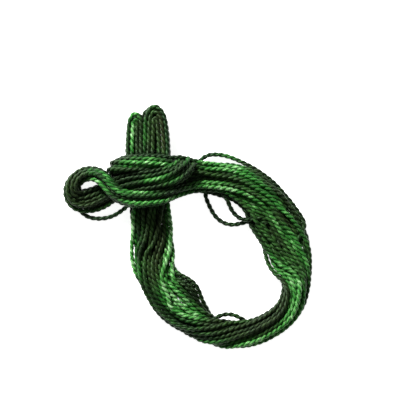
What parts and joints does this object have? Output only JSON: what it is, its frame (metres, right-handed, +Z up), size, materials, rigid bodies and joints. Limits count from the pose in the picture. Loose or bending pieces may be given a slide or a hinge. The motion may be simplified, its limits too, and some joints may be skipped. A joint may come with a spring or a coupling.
{
  "type": "skein of pearl cotton",
  "caption": "Hank of thick two-ply pearl cotton in mixed dark and light greens, curled into a ring and knotted at one corner, lying flat.",
  "frame": {"origin": "middle of the skein's footprint, on the surface that it lies on", "axes": "+Z up from the surface, +Y towards the folded end that stands out above the knot, +X towards the far side of the ring"},
  "size_m": [0.0627, 0.0609, 0.0091],
  "materials": {
    "cotton": "soft sheen"
  },
  "bodies": {
    "root": {"skein": "cotton"}
  },
  "joints": []
}
